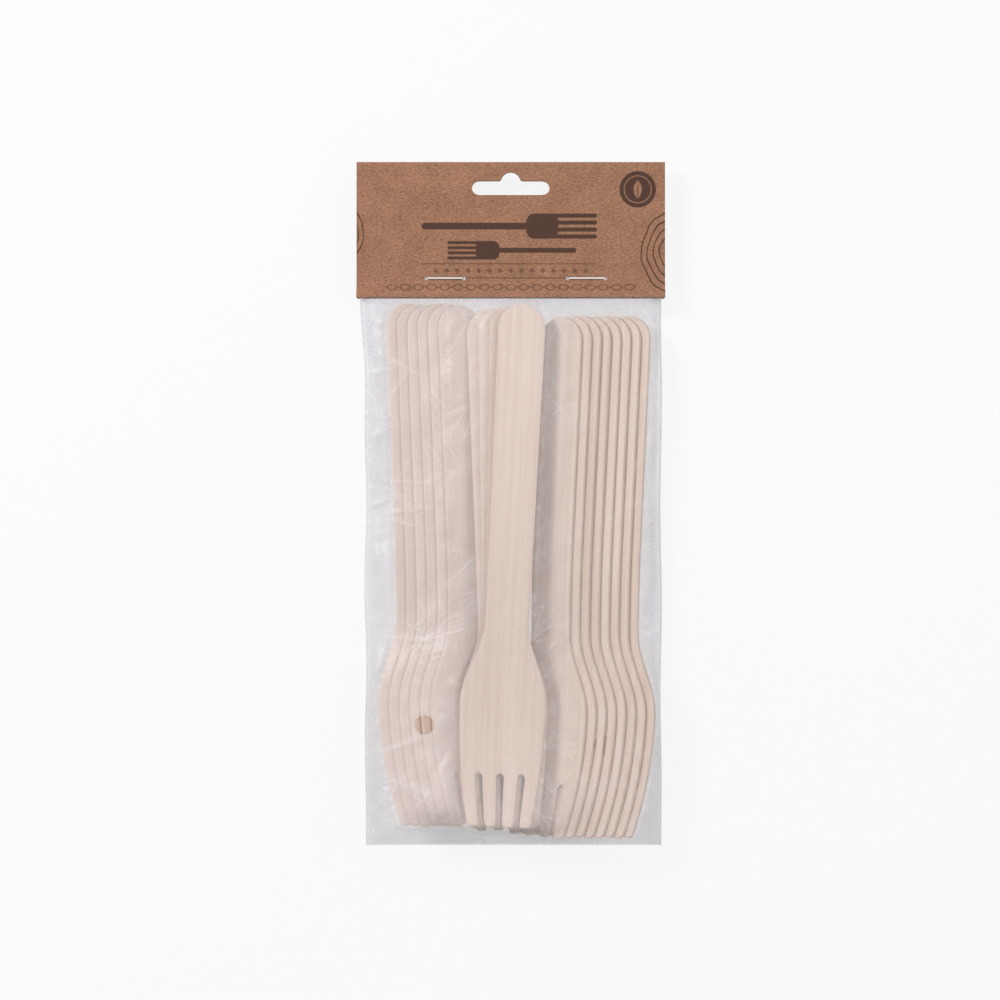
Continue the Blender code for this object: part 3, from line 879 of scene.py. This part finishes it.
class CutleryFilmBag(bpy.types.Operator):
    """Stretch the film bag over the forks and close it into the header"""
    bl_idname = "cutlery.film_bag"
    bl_label = "Film bag"

    def execute(self, context):
        settings = context.scene.cutlery_film
        rows = film_rows()
        front = front_layer(forks_tree(), rows, settings.slack)
        film = roll_into_bag(front, back_layer(rows))
        film.name = "film_bag_film"
        start_editing(film)
        bpy.ops.mesh.select_all(action="SELECT")
        bpy.ops.mesh.remove_doubles(threshold=NEAR / 10)
        for x, y in VENTS:
            punch(film, x, y, VENT_RADIUS, WELD_HEIGHT)
        for x in STAPLE_LEGS:
            punch(film, x, STAPLE_LINE, LEG_ROOM, 0.0)
        bpy.ops.mesh.select_all(action="SELECT")
        bpy.ops.mesh.normals_make_consistent(inside=False)
        bpy.ops.object.mode_set(mode="OBJECT")
        finish_with(film, "SOLIDIFY", thickness=FILM, offset=0.0, use_even_offset=False)
        bpy.ops.object.shade_smooth()
        film.data.materials.append(clear_film(settings))
        # Its haze scatters light forwards, so it puts no shade on the forks
        film.visible_shadow = False
        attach(film, BODY)
        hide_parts("film_bag")
        return {"FINISHED"}


# Where the film hides more or less, as places between which that comes in
LEFT_FORKS = (-6.0 * MM, -22.0 * MM)
LOW_PART = (-20.0 * MM, -60.0 * MM)
RIGHT_FORKS = (16.0 * MM, 24.0 * MM)
FORK_TIPS = (-84.0 * MM, -106.0 * MM)
BELOW_CARD = (20.0 * MM, 60.0 * MM)

# Share that the film hides there, beyond its even haze
LEFT_HAZE = 0.10
LOW_LEFT_HAZE = 0.08
RIGHT_HAZE = -0.10
TIP_HAZE = 0.10
SIDE_HAZE = 0.03
TOP_HAZE = 0.05
LOOSE_HAZE = 0.04
# Creases and wrinkles hide more so that their whiter colour shows: partly whitened film, partly painted
# highlight
CREASE_HAZE = 0.14
WRINKLE_HAZE = 0.05
VEIL_HAZE = 0.14

# Wrinkles of the whole bag and of loose film only, by direction and width
WRINKLES = ((0.9, 0.015), (2.1, 0.015))
LOOSE_WRINKLES = ((0.3, 0.012), (2.7, 0.012))
# Colour that folds and wrinkles turn towards: partly the whitening of folded film, partly painted
# highlight
CREASE_WHITE_AND_HIGHLIGHT = (0.95, 0.95, 0.97, 1.0)


def clear_film(settings):
    """Hazy film: it hides a little of what is behind, more along its creases. Its folds and wrinkles are
    painted whiter: partly the whitening of folded film, partly painted highlight.
    """
    sheet = Sheet(bpy.data.materials.new("clear film"))
    whole = sheet.place()
    x, y, _ = sheet.parts(whole)
    crease, loose, wood = (sheet.attribute(name) for name in ("crease", "loose", "wood"))
    crinkle = sheet.noise(sheet.stretch(whole, (1.0, 0.6, 0.4)), 110.0, detail=4.0, roughness=0.55,
                          distortion=1.2)
    veil = sheet.noise(whole, 30.0, detail=3.0, distortion=0.8)
    wrinkles = sheet.streaks(x, y, *WRINKLES[0]) | sheet.streaks(x, y, *WRINKLES[1])
    for kind in LOOSE_WRINKLES:
        wrinkles = wrinkles | sheet.streaks(x, y, *kind) * loose
    wrinkles = wrinkles * veil.between(0.40, 0.60) * (loose * 0.6 + 0.4)
    low_left = y.between(*LOW_PART) * LOW_LEFT_HAZE + LEFT_HAZE
    on_wood = x.between(*LEFT_FORKS) * low_left + x.between(*RIGHT_FORKS) * RIGHT_HAZE
    on_wood = on_wood + y.between(*FORK_TIPS) * TIP_HAZE
    beside = y.between(*BELOW_CARD) * TOP_HAZE + SIDE_HAZE
    alpha = on_wood * wood + beside * (1.0 - wood) + loose * LOOSE_HAZE + crease * CREASE_HAZE
    alpha = alpha + wrinkles * WRINKLE_HAZE + (veil - 0.5) * VEIL_HAZE + settings.haze
    # Over the forks the haze is tinted warm: painted light scattered up from the wood
    tint = sheet.blend(wood, rgba(settings.tint), rgba(settings.haze_with_wood_light))
    # Folds and wrinkles painted whiter, partly as whitened film and partly as painted highlight; welds
    # as whitened seams
    tint = sheet.blend((crease | wrinkles * 0.55) * 0.7, tint, CREASE_WHITE_AND_HIGHLIGHT)
    folds = sheet.bump(wrinkles, 0.3 * MM, 0.4)
    relief = sheet.bump(crinkle, 0.7 * MM, 0.5, folds)
    return sheet.finish({"Base Color": tint, "Roughness": veil * 0.1 + 0.3,
                         "Alpha": alpha.between(0.0, 1.0), "Normal": relief, "Specular IOR Level": 0.4})


# Header card and staples

INK_EDGE = 0.12 * MM

# The print's forks by height and size, its rules, its diamonds and its beads
DRAWN_FORKS = ((88.3 * MM, 0.98), (80.6 * MM, 0.72))
RULE = (-28.6 * MM, 27.0 * MM)
RULES_AT = (76.3 * MM, 71.8 * MM)
RULE_HALF = 0.15 * MM
DIAMONDS_AT = 74.1 * MM
DIAMOND_PITCH = 3.4 * MM
DIAMOND_HALF = 0.9 * MM
DIAMONDS = (-25.5 * MM, 25.5 * MM, 72.8 * MM, 75.4 * MM)
BEADS_AT = 68.8 * MM
BEAD_PITCH = 4.2 * MM
BEADS = (-39.8 * MM, 39.8 * MM, 67.5 * MM, 70.1 * MM)

# The badge, and the growth rings by centre, flattening, pitch, half line and reach
BADGE = (40.4 * MM, 100.0 * MM)
BADGE_RADIUS = 5.8 * MM
BADGE_RING = 4.3 * MM
RINGS = (
    (52.0 * MM, 80.0 * MM, 0.8, 1.9 * MM, 0.2 * MM, 13.0 * MM),
    (-52.5 * MM, 86.0 * MM, 0.7, 1.7 * MM, 0.19 * MM, 8.0 * MM),
)


def filled(distance):
    """Ink where a distance to an outline is below zero."""
    return distance.between(INK_EDGE, -INK_EDGE)


def box_distance(x, y, left, right, low, high, radius=0.0):
    """How far a place is outside a rectangle with rounded corners."""
    across = (abs(x - (left + right) / 2) - ((right - left) / 2 - radius)) | 0.0
    up = (abs(y - (low + high) / 2) - ((high - low) / 2 - radius)) | 0.0
    return (across ** 2.0 + up ** 2.0) ** 0.5 - radius


def bar(x, y, left, right, low, high):
    """Ink in a rectangle."""
    return filled(box_distance(x, y, left, right, low, high, 0.02 * MM))


def disc_distance(x, y, centre_x, centre_y):
    """How far a place is from a centre."""
    return ((x - centre_x) ** 2.0 + (y - centre_y) ** 2.0) ** 0.5


def drawn_fork(x, y, scale):
    """A plain fork on its side, drawn about the origin with its tines to the right."""
    unit = scale * MM
    handle = box_distance(x, y, -29.0 * unit, 8.0 * unit, -1.1 * unit, 1.1 * unit, 1.1 * unit)
    bowl = box_distance(x, y, 5.0 * unit, 15.5 * unit, -4.1 * unit, 4.1 * unit, 2.8 * unit)
    rows = (y + 1.13 * unit).wrap(2.26 * unit)
    tines = box_distance(x, rows, 12.0 * unit, 28.0 * unit, -0.68 * unit, 0.68 * unit, 0.6 * unit)
    tines = tines | (abs(y) - 4.2 * unit)
    return filled(handle & bowl & tines)


def drawn_leaf(x, y):
    """A plain pointed leaf with a vein: where two discs overlap."""
    left = disc_distance(x, y, -2.6 * MM, 0.0) - 3.9 * MM
    right = disc_distance(x, y, 2.6 * MM, 0.0) - 3.9 * MM
    vein = box_distance(x, y, -0.12 * MM, 0.12 * MM, -2.2 * MM, 1.4 * MM)
    return filled(left | right) * (1.0 - filled(vein - 0.05 * MM))


def drawn_badge(x, y):
    """A dark disc with a ring and a leaf left bare in it."""
    disc = disc_distance(x, y, *BADGE)
    ring = filled(abs(disc - BADGE_RING) - 0.16 * MM)
    leaf = drawn_leaf(x - BADGE[0], y - BADGE[1])
    return filled(disc - BADGE_RADIUS) * (1.0 - ring) * (1.0 - leaf)


def drawn_beads(x, y):
    """A chain of long rings with a dot between each two."""
    bead = disc_distance(x.wrap(BEAD_PITCH) * 0.62, y, 0.0, BEADS_AT) - 0.9 * MM
    dot = disc_distance((x - BEAD_PITCH / 2).wrap(BEAD_PITCH), y, 0.0, BEADS_AT) - 0.3 * MM
    return (filled(abs(bead) - 0.2 * MM) | filled(dot)) * bar(x, y, *BEADS)


def card_print(sheet, whole, x, y):
    """The whole print: forks, rules with diamonds, beads, the badge and the growth rings."""
    (upper, large), (lower, small) = DRAWN_FORKS
    ink = drawn_fork(x, y - upper, large) | drawn_fork(-1.0 * x, y - lower, small)
    for height in RULES_AT:
        ink = ink | bar(x, y, *RULE, height - RULE_HALF, height + RULE_HALF)
    diamond = abs(x.wrap(DIAMOND_PITCH)) + abs(y - DIAMONDS_AT) - DIAMOND_HALF
    ink = ink | filled(diamond) * bar(x, y, *DIAMONDS)
    ink = ink | drawn_beads(x, y) | drawn_badge(x, y)
    wobble = sheet.noise(whole, 120.0, detail=2.0) * 2.2 * MM
    for centre_x, centre_y, flat, pitch, half, reach in RINGS:
        log = disc_distance(x, y * flat, centre_x, centre_y * flat) + wobble
        ink = ink | filled(abs(log.wrap(pitch)) - half) * filled(log - reach)
    return ink


def kraft_print(settings):
    """Brown fibrous card, printed on the outside of the front panel only."""
    sheet = Sheet(bpy.data.materials.new("printed kraft card"))
    whole = sheet.place()
    x, y, z = sheet.parts(whole)
    fibres = sheet.noise(sheet.stretch(whole, (1300.0, 2300.0, 2000.0)), 1.0, detail=4.0, roughness=0.65,
                         distortion=0.6)
    clouds = sheet.noise(whole, 140.0, detail=3.0)
    flecks = sheet.noise(sheet.stretch(whole, (900.0, 2300.0, 1500.0)), 1.0, detail=1.0, distortion=1.5)
    dark = tuple(0.62 * c for c in settings.kraft)
    pale = tuple(min(1.5 * c, 1.0) for c in settings.kraft)
    mottle = fibres.between(0.34, 0.66) * 0.8 + (clouds - 0.5) * 0.5
    card = sheet.blend(mottle.between(0.0, 1.0), rgba(dark), rgba(pale))
    card = sheet.blend(flecks.between(0.64, 0.72) * 0.5, card, rgba(dark))
    outward = sheet.parts(sheet.node("TexCoord")["Normal"])[2]
    front = outward.between(0.2, 0.4) * z.between(CARD_MID_HEIGHT, CARD_MID_HEIGHT + 0.1 * MM)
    worn = 1.0 - fibres.between(0.62, 0.85) * 0.35
    inked = card_print(sheet, whole, x, y) * front * worn
    colour = sheet.blend(inked, card, rgba(settings.ink))
    relief = sheet.bump(fibres * 0.6 + clouds * 0.4, 0.06 * MM, 0.5)
    return sheet.finish({"Base Color": colour, "Roughness": 0.86 - inked * 0.14, "Normal": relief,
                         "Specular IOR Level": 0.25})


def bright_wire():
    """Drawn steel wire with fine scratches along it."""
    sheet = Sheet(bpy.data.materials.new("bright wire"))
    scratches = sheet.noise(sheet.stretch(sheet.place(), (300.0, 4000.0, 4000.0)), 1.0, detail=3.0)
    colour = sheet.blend(scratches, (0.72, 0.72, 0.73, 1.0), (0.90, 0.90, 0.90, 1.0))
    relief = sheet.bump(scratches, 0.02 * MM, 0.3)
    return sheet.finish({"Base Color": colour, "Metallic": 1.0, "Roughness": scratches * 0.15 + 0.18,
                         "Normal": relief})


def dress(node, material):
    """Gives a node of the frame its finish."""
    for slot in frame["nodes"][node].material_slots:
        slot.material = material


class CutleryHeader(bpy.types.Operator):
    """Print the kraft header card and brighten its staples"""
    bl_idname = "cutlery.header"
    bl_label = "Header card and staples"

    def execute(self, context):
        dress("header_card", kraft_print(context.scene.cutlery_card))
        wire = bright_wire()
        for node in ("staple_left", "staple_right"):
            dress(node, wire)
        return {"FINISHED"}


# Stage

CAMERA_HEIGHT = 892.5 * MM
CAMERA_X = -3.43 * MM
CAMERA_Y = 1.12 * MM
FLOOR_DROP = 0.2 * MM
FLOOR_SIZE = 6.0
FLOOR_WHITE = 0.86
LAMP_AIM = (0.0, 0.0, 10.0 * MM)

# Each lamp with its place, its width and its share of the main lamp's power
LAMPS = (
    ("main_lamp", (-0.54, 0.38, 0.63), 0.3, 1.0),
    ("fill_lamp", (0.60, 0.28, 0.62), 0.5, 0.38),
)


def add_lamp(name, place, size, power):
    """A soft round lamp that points at the pack."""
    bpy.ops.object.light_add(type="AREA", location=place)
    lamp = bpy.context.object
    lamp.name = name
    lamp.rotation_euler = (Vector(LAMP_AIM) - Vector(place)).to_track_quat("-Z", "Y").to_euler()
    lamp.data.shape = "DISK"
    lamp.data.size = size
    lamp.data.energy = power


def seen_white(sheet, glow, share):
    """Shows the camera, metal and glass plain white by some share, and lights all else by the shader."""
    path = sheet.node("LightPath")
    seen = path["Is Camera Ray"] | path["Is Glossy Ray"] | path["Is Transmission Ray"]
    plain = sheet.node(glow, {"Color": WHITE, "Strength": 1.0})[0]
    lit = Value(sheet, sheet.shader.outputs[0])
    both = sheet.node("MixShader", {0: seen * share, 1: lit, 2: plain})[0]
    output = next(node for node in sheet.tree.nodes if node.type.startswith("OUTPUT"))
    sheet.feed(output.inputs["Surface"], both)


class CutleryStage(bpy.types.Operator):
    """Set up the pale floor, the soft lamps and the camera"""
    bl_idname = "cutlery.stage"
    bl_label = "Stage"

    def execute(self, context):
        settings = context.scene.cutlery_stage
        bpy.ops.object.select_all(action="DESELECT")
        bpy.ops.mesh.primitive_plane_add(size=FLOOR_SIZE, location=(0.0, 0.0, -FLOOR_DROP))
        floor = context.object
        floor.name = "floor"
        sheet = Sheet(bpy.data.materials.new("pale floor"))
        floor.data.materials.append(sheet.finish({"Base Color": rgba(settings.floor), "Roughness": 0.9}))
        seen_white(sheet, "Emission", FLOOR_WHITE)
        sky = Sheet(bpy.data.worlds.new("studio"), "Background")
        context.scene.world = sky.finish({"Color": WHITE, "Strength": settings.sky})
        seen_white(sky, "Background", 1.0)
        for name, place, size, share in LAMPS:
            add_lamp(name, place, size, settings.lamp * share)
        bpy.ops.object.camera_add(location=(CAMERA_X, CAMERA_Y, CAMERA_HEIGHT), rotation=(0.0, 0.0, 0.0))
        camera = context.object
        camera.name = "camera"
        camera.data.lens = 100.0
        camera.data.sensor_width = 36.0
        camera.data.clip_start = 0.01
        context.scene.camera = camera
        context.scene.view_settings.view_transform = "Standard"
        return {"FINISHED"}


# Panel and registration

class CUTLERY_PT_pack(bpy.types.Panel):
    """Builds the pack piece by piece"""
    bl_label = "Cutlery pack"
    bl_space_type = "VIEW_3D"
    bl_region_type = "UI"
    bl_category = "Cutlery pack"

    def draw(self, context):
        for operator in OPERATORS:
            self.layout.operator(operator.bl_idname)


SETTINGS = {
    "cutlery_forks": CutleryForkSettings,
    "cutlery_film": CutleryFilmSettings,
    "cutlery_card": CutleryCardSettings,
    "cutlery_stage": CutleryStageSettings,
}
OPERATORS = (CutleryForks, CutleryFilmBag, CutleryHeader, CutleryStage)


def register():
    for kind in (*SETTINGS.values(), *OPERATORS, CUTLERY_PT_pack):
        bpy.utils.register_class(kind)
    for name, kind in SETTINGS.items():
        setattr(bpy.types.Scene, name, bpy.props.PointerProperty(type=kind))


def unregister():
    for name in SETTINGS:
        delattr(bpy.types.Scene, name)
    for kind in reversed((*SETTINGS.values(), *OPERATORS, CUTLERY_PT_pack)):
        bpy.utils.unregister_class(kind)


def main():
    register()
    for step in (bpy.ops.cutlery.forks, bpy.ops.cutlery.film_bag, bpy.ops.cutlery.header,
                 bpy.ops.cutlery.stage):
        if step() != {"FINISHED"}:
            raise RuntimeError("a piece of the pack could not be made")


if __name__ == "__main__":
    main()
